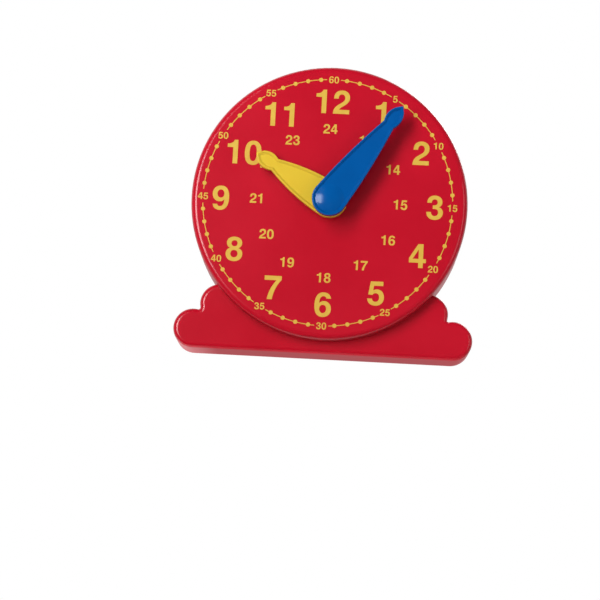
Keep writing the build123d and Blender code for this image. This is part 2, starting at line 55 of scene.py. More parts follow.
# Stencil outlines of the digits, in thousandths of the type size from the baseline.
# M starts a contour, L is a straight run and C a cubic one. Every contour closes.
STENCILS: dict[str, str] = {
    "0": "M 278 710 C 440 710 524 588 524 346 C 524 104 440 -19 278 -19 C 116 -19 32 104 32 346 "
    "C 32 588 116 710 278 710 M 278 596 C 350 596 384 516 384 346 C 384 176 350 95 278 95 "
    "C 206 95 172 176 172 346 C 172 516 206 596 278 596",
    "1": "M 378 0 L 378 710 L 270 710 C 250 632 186 590 69 588 L 69 488 L 238 488 L 238 0",
    "2": "M 26 0 C 28 112 62 186 150 252 C 196 286 244 314 292 348 C 344 384 371 420 371 476 "
    "C 371 546 334 592 275 592 C 210 592 178 548 175 458 L 40 458 C 40 620 128 710 280 710 "
    "C 426 710 511 620 511 490 C 511 398 466 334 382 274 C 330 236 280 210 248 184 "
    "C 226 166 214 148 208 125 L 508 125 L 508 0",
    "3": "M 44 490 C 46 626 130 710 268 710 C 400 710 490 634 490 522 C 490 446 456 394 394 366 "
    "C 468 340 516 286 516 206 C 516 70 420 -19 270 -19 C 122 -19 32 68 27 214 L 164 214 "
    "C 166 138 204 96 270 96 C 334 96 376 138 376 204 C 376 272 336 310 258 310 L 212 310 "
    "L 212 416 L 250 416 C 314 416 352 450 352 505 C 352 560 318 596 264 596 "
    "C 208 596 177 560 176 490",
    "4": "M 440 0 L 440 153 L 526 153 L 526 268 L 440 268 L 440 710 L 286 710 L 27 284 "
    "L 27 153 L 306 153 L 306 0 M 306 268 L 132 268 L 306 548",
    "5": "M 480 698 L 480 573 L 212 573 L 190 424 C 224 452 260 466 304 466 C 430 466 516 370 516 230 "
    "C 516 80 418 -19 270 -19 C 126 -19 34 58 27 186 L 166 186 C 172 128 208 96 268 96 "
    "C 334 96 376 146 376 224 C 376 304 334 352 268 352 C 224 352 192 334 174 300 L 50 306 "
    "L 112 698",
    "6": "M 506 532 C 494 642 416 710 294 710 C 118 710 31 580 31 322 C 31 92 114 -19 280 -19 "
    "C 424 -19 520 78 520 220 C 520 360 436 452 308 452 C 250 452 204 430 168 386 "
    "C 170 528 212 598 290 598 C 336 598 364 576 372 532 M 278 340 C 338 340 380 294 380 218 "
    "C 380 144 340 96 280 96 C 218 96 176 146 176 220 C 176 294 216 340 278 340",
    "7": "M 25 698 L 528 698 L 528 584 C 396 436 296 236 268 0 L 120 0 C 146 208 244 414 382 570 "
    "L 25 570",
    "8": "M 278 710 C 412 710 502 636 502 526 C 502 456 466 402 402 372 C 480 340 524 284 524 202 "
    "C 524 70 424 -19 278 -19 C 132 -19 32 70 32 202 C 32 284 76 340 154 372 "
    "C 90 402 54 456 54 526 C 54 636 144 710 278 710 M 278 604 C 334 604 368 570 368 514 "
    "C 368 458 334 424 278 424 C 222 424 188 458 188 514 C 188 570 222 604 278 604 "
    "M 278 314 C 342 314 384 270 384 204 C 384 136 342 92 278 92 C 214 92 172 136 172 204 "
    "C 172 270 214 314 278 314",
}
# A digit that is another one turned by half, and what their places across and up add up to.
HALF_TURNED = {"9": ("6", 552.0, 691.0)}


@dataclass(frozen=True)
class Anchor:
    """One point of a contour with its two curve handles."""

    place: Point
    arriving: Point
    leaving: Point


def digit_contours(digit: str) -> list[list[Anchor]]:
    """Read one digit's stencil.

    Args:
        digit: A character from 0 to 9.

    Returns:
        Closed contours, each as anchors with handles, in stencil units.
    """
    if digit in HALF_TURNED:
        source, across, up = HALF_TURNED[digit]

        def turned(point: Point) -> Point:
            """A point of the other digit, turned by half."""
            return across - point[0], up - point[1]

        return [
            [Anchor(turned(a.place), turned(a.arriving), turned(a.leaving)) for a in contour]
            for contour in digit_contours(source)
        ]
    contours: list[list[list[Point]]] = []
    words = iter(STENCILS[digit].split())
    for word in words:
        if word == "M":
            start = (float(next(words)), float(next(words)))
            contours.append([[start, start, start]])
        elif word == "L":
            end = (float(next(words)), float(next(words)))
            contours[-1].append([end, end, end])
        else:
            first, second, end = ((float(next(words)), float(next(words))) for _ in range(3))
            contours[-1][-1][2] = first
            contours[-1].append([end, second, end])
    for contour in contours:
        if contour[0][0] == contour[-1][0]:
            contour[0][1] = contour.pop()[1]
    return [[Anchor(*anchor) for anchor in contour] for contour in contours]


def extent(contours: Iterable[Sequence[Anchor]]) -> tuple[Point, Point]:
    """Find how far some contours reach.

    Args:
        contours: Contours of one digit.

    Returns:
        Their lowest and their highest place, across and up.
    """
    places = [anchor.place for contour in contours for anchor in contour]
    across, up = zip(*places)
    return (min(across), min(up)), (max(across), max(up))


@dataclass(frozen=True)
class Numeral:
    """A printed number and the middle of its place on the dial, from the print's centre."""

    text: str
    across: float
    up: float


def add_numeral(curve: bpy.types.Curve, numeral: Numeral, height: float) -> None:
    """Draw a number in a flat curve, its box centred on its place.

    Args:
        curve: Flat curve that takes the contours.
        numeral: The number and its place, in metres.
        height: Height of a digit, in metres.
    """
    scale = height / DIGIT_HEIGHT
    digits = [digit_contours(digit) for digit in numeral.text]
    left = extent(digits[0])[0][0]
    right = (len(digits) - 1) * DIGIT_ADVANCE + extent(digits[-1])[1][0]
    for place, contours in enumerate(digits):
        slide = place * DIGIT_ADVANCE - (left + right) / 2

        def placed(point: Point) -> tuple[float, float, float]:
            """A stencil point's place in the curve."""
            across = numeral.across + (point[0] + slide) * scale
            return across, numeral.up + (point[1] - DIGIT_HEIGHT / 2) * scale, 0.0

        for contour in contours:
            spline = curve.splines.new("BEZIER")
            spline.bezier_points.add(len(contour) - 1)
            spline.use_cyclic_u = True
            for knot, anchor in zip(spline.bezier_points, contour):
                knot.handle_left_type = knot.handle_right_type = "FREE"
                knot.co = placed(anchor.place)
                knot.handle_left = placed(anchor.arriving)
                knot.handle_right = placed(anchor.leaving)


def new_piece(name: str, shape: bmesh.types.BMesh) -> bpy.types.Object:
    """Close a bmesh into a named object at the origin.

    Args:
        name: The piece's name.
        shape: Its geometry in the clock's frame. It is freed.

    Returns:
        The linked object.
    """
    bmesh.ops.recalc_face_normals(shape, faces=shape.faces)
    mesh = bpy.data.meshes.new(name)
    shape.to_mesh(mesh)
    shape.free()
    piece = bpy.data.objects.new(name, mesh)
    bpy.context.scene.collection.objects.link(piece)
    return piece


def thicken(shape: bmesh.types.BMesh, rise: Vector) -> None:
    """Give flat faces a thickness, closed all round.

    Args:
        shape: Flat faces, which stay as one side.
        rise: The way and distance from them to the other side.
    """
    grown = bmesh.ops.extrude_face_region(shape, geom=list(shape.faces), use_keep_orig=True)
    corners = [part for part in grown["geom"] if isinstance(part, bmesh.types.BMVert)]
    bmesh.ops.translate(shape, verts=corners, vec=rise)


# ---------------------------------------------------------------- shader building


Tree = bpy.types.NodeTree
Node = bpy.types.Node
Socket = bpy.types.NodeSocket


def add_node(
    tree: Tree, kind: str, inputs: dict[str | int, object] | None = None, **settings: object
) -> Node:
    """Add a shader node.

    Args:
        tree: Tree that takes the node.
        kind: Blender's node class.
        inputs: A value or an output socket for each named or numbered input.
        settings: Attributes of the node.

    Returns:
        The new node.
    """
    node = tree.nodes.new(kind)
    for key, value in settings.items():
        setattr(node, key, value)
    for key, value in (inputs or {}).items():
        if isinstance(value, bpy.types.NodeSocket):
            tree.links.new(value, node.inputs[key])
        else:
            node.inputs[key].default_value = value
    return node


def arithmetic(tree: Tree, operation: str, *values: object, clamp: bool = False) -> Socket:
    """Add a Math node and give its result."""
    given = dict(enumerate(values))
    return add_node(tree, "ShaderNodeMath", given, operation=operation, use_clamp=clamp).outputs[0]


def weigh(tree: Tree, first: Socket, second: Socket, share: float) -> Socket:
    """Add two values, the first by its share and the second by what is left."""
    parts = [arithmetic(tree, "MULTIPLY", *part) for part in ((first, share), (second, 1 - share))]
    return arithmetic(tree, "ADD", *parts)


def remap(tree: Tree, value: Socket, low: object, high: object, bottom: object, top: object) -> Socket:
    """Carry a value from one range to another, held inside it."""
    given = {"Value": value, "From Min": low, "From Max": high, "To Min": bottom, "To Max": top}
    return add_node(tree, "ShaderNodeMapRange", given, clamp=True).outputs["Result"]


def blend_colour(tree: Tree, share: Socket, first: object, second: object) -> Socket:
    """Mix two colours by a share.

    Args:
        tree: Tree that takes the node.
        share: 0 for the first colour and 1 for the second.
        first: A colour, or a socket that gives one.
        second: The same.

    Returns:
        The mixed colour.
    """
    node = add_node(tree, "ShaderNodeMix", data_type="RGBA")
    tree.links.new(share, node.inputs["Factor"])
    for label, colour in (("A", first), ("B", second)):
        socket = next(s for s in node.inputs if s.name == label and s.type == "RGBA")
        if isinstance(colour, bpy.types.NodeSocket):
            tree.links.new(colour, socket)
        else:
            socket.default_value = (*colour, 1.0)
    return next(s for s in node.outputs if s.type == "RGBA")


def object_place(tree: Tree) -> Socket:
    """The point of the piece, in metres in the clock's frame."""
    return add_node(tree, "ShaderNodeTexCoord").outputs["Object"]


def cloud(tree: Tree, place: Socket, fineness: object, detail: float, roughness: float = 0.5) -> Socket:
    """Noise between 0 and 1 at a number of features a metre."""
    given = {"Vector": place, "Scale": fineness, "Detail": detail, "Roughness": roughness}
    return add_node(tree, "ShaderNodeTexNoise", given).outputs["Fac"]


def bump(tree: Tree, shader: Node, height: Socket, distance: float) -> None:
    """Give a shader a relief, whose height of 0 to 1 stands for a distance in metres."""
    given = {"Height": height, "Distance": distance, "Strength": 1.0}
    tree.links.new(add_node(tree, "ShaderNodeBump", given).outputs[0], shader.inputs["Normal"])


@dataclass(frozen=True)
class Patches:
    """Soft patches of noise, faded in over a range of its values."""

    fineness: float
    detail: float
    low: float
    high: float
    faint: float = 0.0

    def add(self, tree: Tree, place: Socket) -> Socket:
        """How far each point lies in a patch, from faint to 1."""
        noise = cloud(tree, place, self.fineness, self.detail)
        return remap(tree, noise, self.low, self.high, self.faint, 1.0)


# ---------------------------------------------------------------- surface effects


Given = bpy.types.NodeOutputs
Filling = Callable[[Tree, Given], dict[str, Socket]]


@dataclass(frozen=True)
class GroupSocket:
    """Name, default and direction of one socket of an effect group."""

    name: str
    default: float = 0.0
    given: bool = True


class Effect(Enum):
    """Surface effects that several finishes share."""

    MOULDED_SKIN = "moulded_skin"
    EDGE_LINE = "edge_line"
    HANDLING = "handling_marks"
    DRAWN_GRAIN = "drawn_grain"

    def group(self) -> bpy.types.ShaderNodeTree:
        """Build the effect's node group the first time.

        Returns:
            The node group.
        """
        found = bpy.data.node_groups.get(self.value)
        if found is not None:
            return found
        tree = bpy.data.node_groups.new(self.value, "ShaderNodeTree")
        sockets, fill = EFFECT_PLANS[self]
        for socket in sockets:
            way = "INPUT" if socket.given else "OUTPUT"
            made = tree.interface.new_socket(name=socket.name, in_out=way, socket_type="NodeSocketFloat")
            made.default_value = socket.default
        start = tree.nodes.new("NodeGroupInput")
        end = tree.nodes.new("NodeGroupOutput")
        for name, socket in fill(tree, start.outputs).items():
            tree.links.new(socket, end.inputs[name])
        return tree

    def place(self, tree: Tree, **values: float) -> dict[str, Socket]:
        """Put the effect in a material.

        Args:
            tree: The material's tree.
            values: Inputs by name.

        Returns:
            The effect's outputs by name.
        """
        node = add_node(tree, "ShaderNodeGroup", dict(values), node_tree=self.group())
        return {socket.name: socket for socket in node.outputs}


@dataclass(frozen=True)
class MouldedSkin:
    """Flow shading of a moulding, its mould's fine grain, and drag marks on walls along the draw.

    The spots are as fine as a share of the grain. A wall counts as one where little of its normal
    points along the draw.
    """

    flow_detail: float = 2.0
    tone_range: tuple[float, float] = (0.32, 0.68)
    grain_detail: float = 3.0
    grain_roughness: float = 0.6
    grain_share: float = 0.7
    spot_fineness: float = 0.31
    spot_detail: float = 2.0
    spot_share: float = 0.4
    wall_range: tuple[float, float] = (0.15, 0.5)

    def fill(self, tree: Tree, given: Given) -> dict[str, Socket]:
        """Build the effect.

        Args:
            tree: The effect's group.
            given: What the group is given.

        Returns:
            Tone, roughness and relief.
        """
        place = object_place(tree)
        flow = cloud(tree, place, given["Flow"], self.flow_detail)
        grain = cloud(tree, place, given["Grain"], self.grain_detail, self.grain_roughness)
        spot_fineness = arithmetic(tree, "MULTIPLY", given["Grain"], self.spot_fineness)
        spots = cloud(tree, place, spot_fineness, self.spot_detail)
        uneven = arithmetic(tree, "ADD", flow, arithmetic(tree, "MULTIPLY", spots, self.spot_share))
        centred = arithmetic(tree, "SUBTRACT", uneven, (1 + self.spot_share) / 2)
        swing = arithmetic(tree, "MULTIPLY", centred, given["Spread"])
        facing = add_node(tree, "ShaderNodeTexCoord").outputs["Normal"]
        along_draw = add_node(tree, "ShaderNodeSeparateXYZ", {0: facing}).outputs["Y"]
        frontal = arithmetic(tree, "ABSOLUTE", along_draw)
        dragged = remap(tree, frontal, *self.wall_range, given["Drag"], 0.0)
        plain = arithmetic(tree, "ADD", given["Roughness"], dragged)
        return {
            "Tone": remap(tree, flow, *self.tone_range, 0.0, 1.0),
            "Rough": arithmetic(tree, "ADD", plain, swing, clamp=True),
            "Relief": weigh(tree, grain, spots, self.grain_share),
        }


@dataclass(frozen=True)
class EdgeLine:
    """Worn line along sharp edges, found by how far a rounding turns the surface."""

    samples: int = 4
    turn_range: tuple[float, float] = (0.995, 0.82)
    breaks: Patches = Patches(fineness=420.0, detail=3.0, low=0.35, high=0.62, faint=0.25)

    def fill(self, tree: Tree, given: Given) -> dict[str, Socket]:
        """Build the effect.

        Args:
            tree: The effect's group.
            given: What the group is given.

        Returns:
            The edge's share of each point.
        """
        rounded = add_node(tree, "ShaderNodeBevel", {"Radius": given["Width"]}, samples=self.samples)
        flat = add_node(tree, "ShaderNodeNewGeometry")
        normals = {0: rounded.outputs[0], 1: flat.outputs["Normal"]}
        facing = add_node(tree, "ShaderNodeVectorMath", normals, operation="DOT_PRODUCT")
        turned = remap(tree, facing.outputs["Value"], *self.turn_range, 0.0, 1.0)
        share = arithmetic(tree, "MULTIPLY", turned, self.breaks.add(tree, object_place(tree)))
        return {"Edge": arithmetic(tree, "MULTIPLY", share, given["Amount"])}


@dataclass(frozen=True)
class Handling:
    """Faint hairlines and finger haze that use leaves on a glossy moulding.

    Each set of hairlines is noise turned about Y, in radians, and stretched.
    """

    scratches: tuple[tuple[float, tuple[float, float, float]], ...] = (
        (0.5, (60.0, 900.0, 1500.0)),
        (-0.9, (1300.0, 900.0, 45.0)),
    )
    hairline: Patches = Patches(fineness=1.0, detail=1.0, low=0.70, high=0.78)
    handled: Patches = Patches(fineness=55.0, detail=2.0, low=0.45, high=0.70)
    haze: Patches = Patches(fineness=38.0, detail=3.0, low=0.48, high=0.75)
    hair_share: float = 0.6

    def fill(self, tree: Tree, given: Given) -> dict[str, Socket]:
        """Build the effect.

        Args:
            tree: The effect's group.
            given: What the group is given.

        Returns:
            The marks' share of each point.
        """
        place = object_place(tree)
        lines: list[Socket] = []
        for turn, stretch in self.scratches:
            turned = {"Vector": place, "Rotation": (0.0, turn, 0.0), "Scale": stretch}
            along = add_node(tree, "ShaderNodeMapping", turned).outputs[0]
            lines.append(self.hairline.add(tree, along))
        handled = self.handled.add(tree, place)
        hair = arithmetic(tree, "MULTIPLY", arithmetic(tree, "MAXIMUM", *lines), handled)
        marks = weigh(tree, hair, self.haze.add(tree, place), self.hair_share)
        return {"Marks": arithmetic(tree, "MULTIPLY", marks, given["Amount"])}


@dataclass(frozen=True)
class DrawnGrain:
    """Fine lines along Y, as drawing and turning leave on steel, and a coarser bloom."""

    stretch: tuple[float, float, float] = (1.0, 0.06, 1.0)
    line_detail: float = 4.0
    line_roughness: float = 0.7
    bloom_fineness: float = 0.12
    bloom_detail: float = 2.0

    def fill(self, tree: Tree, given: Given) -> dict[str, Socket]:
        """Build the effect.

        Args:
            tree: The effect's group.
            given: What the group is given.

        Returns:
            Lines and bloom.
        """
        place = object_place(tree)
        stretched = {"Vector": place, "Scale": self.stretch}
        along = add_node(tree, "ShaderNodeMapping", stretched).outputs[0]
        bloom_fineness = arithmetic(tree, "MULTIPLY", given["Fineness"], self.bloom_fineness)
        return {
            "Lines": cloud(tree, along, given["Fineness"], self.line_detail, self.line_roughness),
            "Bloom": cloud(tree, place, bloom_fineness, self.bloom_detail),
        }


EFFECT_PLANS: dict[Effect, tuple[tuple[GroupSocket, ...], Filling]] = {
    Effect.MOULDED_SKIN: (
        (
            GroupSocket("Flow", 40.0),
            GroupSocket("Grain", 3000.0),
            GroupSocket("Roughness", 0.3),
            GroupSocket("Spread", 0.1),
            GroupSocket("Drag", 0.0),
            GroupSocket("Tone", given=False),
            GroupSocket("Rough", given=False),
            GroupSocket("Relief", given=False),
        ),
        MouldedSkin().fill,
    ),
    Effect.EDGE_LINE: (
        (GroupSocket("Width", 0.3 * MM), GroupSocket("Amount", 1.0), GroupSocket("Edge", given=False)),
        EdgeLine().fill,
    ),
    Effect.HANDLING: (
        (GroupSocket("Amount", 1.0), GroupSocket("Marks", given=False)),
        Handling().fill,
    ),
    Effect.DRAWN_GRAIN: (
        (
            GroupSocket("Fineness", 4000.0),
            GroupSocket("Lines", given=False),
            GroupSocket("Bloom", given=False),
        ),
        DrawnGrain().fill,
    ),
}


# ---------------------------------------------------------------- finishes


def fresh_material(name: str) -> tuple[bpy.types.Material, Node]:
    """A new material that holds only an output and its shader.

    Args:
        name: The material's name.

    Returns:
        The material and its Principled shader.
    """
    material = bpy.data.materials.new(name)
    material.use_nodes = True
    material.node_tree.nodes.clear()
    shader = add_node(material.node_tree, "ShaderNodeBsdfPrincipled")
    add_node(material.node_tree, "ShaderNodeOutputMaterial", {"Surface": shader.outputs[0]})
    return material, shader


@dataclass(frozen=True)
class Moulding:
    """Finish of an injection-moulded piece.

    Flow and grain are features a metre. Grain height is in millimetres, and other sizes in metres.
    """

    name: str
    colour: Colour
    deep: Colour
    worn: Colour
    roughness: float
    spread: float
    specular: float
    flow: float
    grain: float
    grain_height: float
    marks: float
    drag: float = 0.0
    subsurface: float = 0.0
    subsurface_depth: float = 1.2 * MM
    edge_width: float = 0.25 * MM
    edge_wear: float = 0.35
    edge_dulling: float = 0.1
    mark_dulling: float = 0.18

    def material(self) -> bpy.types.Material:
        """Build the finish.

        Returns:
            The material.
        """
        material, shader = fresh_material(self.name)
        tree = material.node_tree
        skin = Effect.MOULDED_SKIN.place(
            tree, Flow=self.flow, Grain=self.grain,
            Roughness=self.roughness, Spread=self.spread, Drag=self.drag,
        )
        edge = Effect.EDGE_LINE.place(tree, Width=self.edge_width, Amount=self.edge_wear)["Edge"]
        marks = Effect.HANDLING.place(tree, Amount=self.marks)["Marks"]
        body = blend_colour(tree, skin["Tone"], self.deep, self.colour)
        tree.links.new(blend_colour(tree, edge, body, self.worn), shader.inputs["Base Color"])
        marks_dull = arithmetic(tree, "MULTIPLY", marks, self.mark_dulling)
        marked = arithmetic(tree, "ADD", skin["Rough"], marks_dull)
        edges_dull = arithmetic(tree, "MULTIPLY", edge, self.edge_dulling)
        rough = arithmetic(tree, "ADD", marked, edges_dull, clamp=True)
        tree.links.new(rough, shader.inputs["Roughness"])
        bump(tree, shader, skin["Relief"], self.grain_height * MM)
        shader.inputs["Specular IOR Level"].default_value = self.specular
        if self.subsurface:
            shader.inputs["Subsurface Weight"].default_value = self.subsurface
            shader.inputs["Subsurface Scale"].default_value = self.subsurface_depth
        return material


@dataclass(frozen=True)
class Metal:
    """Finish of a drawn, turned or stamped steel piece."""

    name: str
    colour: Colour
    tarnish: Colour
    roughness: float
    spread: float
    fineness: float
    edge_width: float = 0.12 * MM
    edge_wear: float = 0.8
    edge_brightness: float = 1.2
    dull_range: tuple[float, float] = (0.4, 0.7)
    line_range: tuple[float, float] = (0.3, 0.7)
    line_depth: float = 0.004 * MM

    def material(self) -> bpy.types.Material:
        """Build the finish.

        Returns:
            The material.
        """
        material, shader = fresh_material(self.name)
        tree = material.node_tree
        grain = Effect.DRAWN_GRAIN.place(tree, Fineness=self.fineness)
        edge = Effect.EDGE_LINE.place(tree, Width=self.edge_width, Amount=self.edge_wear)["Edge"]
        dull = remap(tree, grain["Bloom"], *self.dull_range, 0.0, 1.0)
        body = blend_colour(tree, dull, self.colour, self.tarnish)
        brightened = tuple(min(1.0, self.edge_brightness * level) for level in self.colour)
        tree.links.new(blend_colour(tree, edge, body, brightened), shader.inputs["Base Color"])
        low, high = self.roughness - self.spread, self.roughness + self.spread
        rough = remap(tree, grain["Lines"], *self.line_range, low, high)
        tree.links.new(rough, shader.inputs["Roughness"])
        bump(tree, shader, grain["Lines"], self.line_depth)
        shader.inputs["Metallic"].default_value = 1.0
        return material


@dataclass(frozen=True)
class Ink:
    """Finish of the pad-printed figures."""

    name: str
    colour: Colour
    thin: Colour
    roughness: float
    spread: float = 0.05
    specular: float = 0.25
    body: Patches = Patches(fineness=260.0, detail=3.0, low=0.42, high=0.66)
    speckle: Patches = Patches(fineness=5200.0, detail=2.0, low=0.30, high=0.70)
    body_share: float = 0.7
    speckle_height: float = 0.003 * MM

    def material(self) -> bpy.types.Material:
        """Build the finish.

        Returns:
            The material.
        """
        material, shader = fresh_material(self.name)
        tree = material.node_tree
        place = object_place(tree)
        speckle = self.speckle.add(tree, place)
        cover = weigh(tree, self.body.add(tree, place), speckle, self.body_share)
        tree.links.new(blend_colour(tree, cover, self.thin, self.colour), shader.inputs["Base Color"])
        low, high = self.roughness - self.spread, self.roughness + self.spread
        tree.links.new(remap(tree, speckle, 0.0, 1.0, low, high), shader.inputs["Roughness"])
        bump(tree, shader, speckle, self.speckle_height)
        shader.inputs["Specular IOR Level"].default_value = self.specular
        return material


class Finish(Enum):
    """Every finish of the clock, each giving its name to the material it builds."""

    RED_PLASTIC = Moulding(
        name="red_plastic",
        colour=(0.555, 0.0036, 0.020), deep=(0.505, 0.0028, 0.017), worn=(0.66, 0.03, 0.05),
        roughness=0.21, spread=0.08, specular=0.5, flow=28.0, grain=2600.0, grain_height=0.0025,
        marks=0.15, drag=0.25,
    )
    COVER_PLASTIC = Moulding(
        name="cover_plastic",
        colour=(0.53, 0.003, 0.016), deep=(0.48, 0.002, 0.013), worn=(0.62, 0.04, 0.05),
        roughness=0.52, spread=0.10, specular=0.5, flow=24.0, grain=2400.0, grain_height=0.028,
        marks=0.35,
    )
    BLUE_PLASTIC = Moulding(
        name="blue_plastic",
        colour=(0.0, 0.091, 0.345), deep=(0.0, 0.080, 0.312), worn=(0.02, 0.14, 0.45),
        roughness=0.15, spread=0.05, specular=0.25, flow=70.0, grain=3000.0, grain_height=0.002,
        marks=0.6,
    )
    YELLOW_PLASTIC = Moulding(
        name="yellow_plastic",
        colour=(0.745, 0.53, 0.045), deep=(0.715, 0.49, 0.038), worn=(0.86, 0.62, 0.09),
        roughness=0.18, spread=0.05, specular=0.25, flow=70.0, grain=3000.0, grain_height=0.002,
        marks=0.6, subsurface=0.06,
    )
    WHITE_PLASTIC = Moulding(
        name="white_plastic",
        colour=(0.82, 0.81, 0.77), deep=(0.76, 0.75, 0.70), worn=(0.88, 0.87, 0.84),
        roughness=0.42, spread=0.08, specular=0.5, flow=90.0, grain=3200.0, grain_height=0.004,
        marks=0.2, subsurface=0.15,
    )
    WASHER_PLASTIC = Moulding(
        name="washer_plastic",
        colour=(0.055, 0.055, 0.06), deep=(0.04, 0.04, 0.044), worn=(0.12, 0.12, 0.13),
        roughness=0.48, spread=0.08, specular=0.5, flow=120.0, grain=3600.0, grain_height=0.004,
        marks=0.2,
    )
    STEEL = Metal(
        name="steel", colour=(0.58, 0.58, 0.60), tarnish=(0.48, 0.47, 0.46),
        roughness=0.28, spread=0.08, fineness=9000.0,
    )
    ZINC_STEEL = Metal(
        name="zinc_steel", colour=(0.64, 0.65, 0.68), tarnish=(0.55, 0.55, 0.54),
        roughness=0.33, spread=0.09, fineness=5000.0,
    )
    SPRING_STEEL = Metal(
        name="spring_steel", colour=(0.36, 0.37, 0.40), tarnish=(0.27, 0.26, 0.27),
        roughness=0.3, spread=0.08, fineness=7000.0,
    )
    INK = Ink(name="figure_ink", colour=(0.72, 0.47, 0.068), thin=(0.68, 0.43, 0.056), roughness=0.42)

    def dress(self, piece: bpy.types.Object) -> None:
        """Give the finish to a piece, in every slot it has.

        Args:
            piece: The piece, which gets a slot where it has none.
        """
        label = self.value.name + "_finish"
        material = bpy.data.materials.get(label)
        if material is None:
            material = self.value.material()
            material.name = label
        if not piece.data.materials:
            piece.data.materials.append(material)
        for slot in piece.material_slots:
            slot.material = material


# ---------------------------------------------------------------- the clock's pieces


@dataclass
class DialPrint:
    """Yellow figures and minute track printed on the dial.

    The face, the centre, the track's radius, the film, its key and the weld are in metres. Heights,
    line width, dot radius and the places of numbers are shares of the track's radius, the dot's
    taper is a share of its radius and the line's film of the film. Label gaps are in radians.
    """

    face: float = -17.0 * MM
    centre_across: float = -0.7 * MM
    centre_up: float = 60.0 * MM
    track_radius: float = 49.6 * MM
    film: float = 0.05 * MM
    key: float = 0.02 * MM
    weld: float = 0.001 * MM
    hour_height: float = 0.1925
    afternoon_height: float = 0.0775
    minute_height: float = 0.0545
    line_width: float = 0.0065
    dot_radius: float = 0.0172
    dot_sides: int = 20
    dot_taper: float = 0.96
    line_film: float = 0.85
    label_gap: float = 0.056
    short_label_gap: float = 0.036
    steps_per_minute: int = 4
    curve_steps: int = 10

    HOURS = (
        ("12", 0.000, 0.819), ("1", 0.390, 0.741), ("2", 0.728, 0.434), ("3", 0.858, 0.000),
        ("4", 0.739, -0.399), ("5", 0.421, -0.715), ("6", 0.004, -0.827), ("7", -0.402, -0.711),
        ("8", -0.726, -0.415), ("9", -0.857, -0.007), ("10", -0.689, 0.372), ("11", -0.423, 0.695),
    )
    AFTERNOON = (
        ("24", -0.008, 0.596), ("13", 0.285, 0.515), ("14", 0.512, 0.289), ("15", 0.583, 0.007),
        ("16", 0.499, -0.285), ("17", 0.289, -0.499), ("18", 0.000, -0.613), ("19", -0.298, -0.503),
        ("20", -0.475, -0.283), ("21", -0.575, 0.002), ("22", -0.500, 0.290), ("23", -0.307, 0.490),
    )
    MINUTES_MARKED = 5
    MINUTES = 60
    MINUTE_TURN = 2 * math.pi / MINUTES

    def on_dial(self) -> Matrix:
        """Turn flat drawings to the dial, with their own height towards the viewer."""
        return Matrix((
            (1, 0, 0, self.centre_across),
            (0, 0, -1, self.face),
            (0, 1, 0, self.centre_up),
            (0, 0, 0, 1),
        ))

    def figures(self, name: str, numerals: Iterable[Numeral], height: float) -> bpy.types.Object:
        """Print a set of numbers as one film.

        Args:
            name: The piece's name.
            numerals: Numbers with places in shares of the track's radius.
            height: Digit height as a share of the track's radius.

        Returns:
            The printed piece.
        """
        curve = bpy.data.curves.new(name, "CURVE")
        curve.dimensions = "2D"
        curve.fill_mode = "FRONT"
        curve.resolution_u = self.curve_steps
        for numeral in numerals:
            across, up = numeral.across * self.track_radius, numeral.up * self.track_radius
            add_numeral(curve, Numeral(numeral.text, across, up), height * self.track_radius)
        drawing = bpy.data.objects.new(name + "_drawing", curve)
        flat = bpy.data.meshes.new_from_object(drawing)
        shape = bmesh.new()
        shape.from_mesh(flat)
        bpy.data.objects.remove(drawing)
        bpy.data.curves.remove(curve)
        bpy.data.meshes.remove(flat)
        bmesh.ops.remove_doubles(shape, verts=shape.verts, dist=self.weld)
        bmesh.ops.translate(shape, verts=shape.verts, vec=(0.0, 0.0, -self.key))
        thicken(shape, Vector((0.0, 0.0, self.key + self.film)))
        bmesh.ops.transform(shape, matrix=self.on_dial(), verts=shape.verts)
        return new_piece(name, shape)

    def label_numeral(self, minute: int) -> Numeral:
        """The label of a marked minute, upright on the track."""
        turn = self.MINUTE_TURN * minute
        return Numeral(str(minute), math.sin(turn), math.cos(turn))

    def add_line(self, shape: bmesh.types.BMesh, start: float, end: float) -> None:
        """Sweep the track's line between two clockwise angles.

        Args:
            shape: The flat drawing that takes the line.
            start: First angle from twelve, in radians.
            end: Last angle.
        """
        inner, outer = ((1 + side * self.line_width / 2) * self.track_radius for side in (-1, 1))
        film = self.line_film * self.film
        corners = [
            shape.verts.new((radius * math.sin(start), radius * math.cos(start), height))
            for radius, height in ((inner, -self.key), (outer, -self.key), (outer, film), (inner, film))
        ]
        section = shape.faces.new(corners)
        bmesh.ops.spin(
            shape, geom=[section, *section.edges, *section.verts], cent=(0, 0, 0), axis=(0, 0, -1),
            angle=end - start, steps=round((end - start) / self.MINUTE_TURN * self.steps_per_minute),
            use_merge=False, use_duplicate=False,
        )

    def minute_track(self) -> bpy.types.Object:
        """Print the ring of minute dots and the line that joins them.

        Returns:
            The printed piece.
        """
        shape = bmesh.new()
        radius = self.dot_radius * self.track_radius
        for minute in range(self.MINUTES):
            turn = minute * self.MINUTE_TURN
            if minute % self.MINUTES_MARKED:
                across, up = self.track_radius * math.sin(turn), self.track_radius * math.cos(turn)
                bmesh.ops.create_cone(
                    shape, cap_ends=True, segments=self.dot_sides,
                    radius1=radius, radius2=self.dot_taper * radius, depth=self.key + self.film,
                    matrix=Matrix.Translation((across, up, (self.film - self.key) / 2)),
                )
            else:
                before = self.short_label_gap if minute == self.MINUTES_MARKED else self.label_gap
                after = self.short_label_gap if minute == 0 else self.label_gap
                following = turn + self.MINUTES_MARKED * self.MINUTE_TURN
                self.add_line(shape, turn + before, following - after)
        bmesh.ops.transform(shape, matrix=self.on_dial(), verts=shape.verts)
        return new_piece("minute_track", shape)

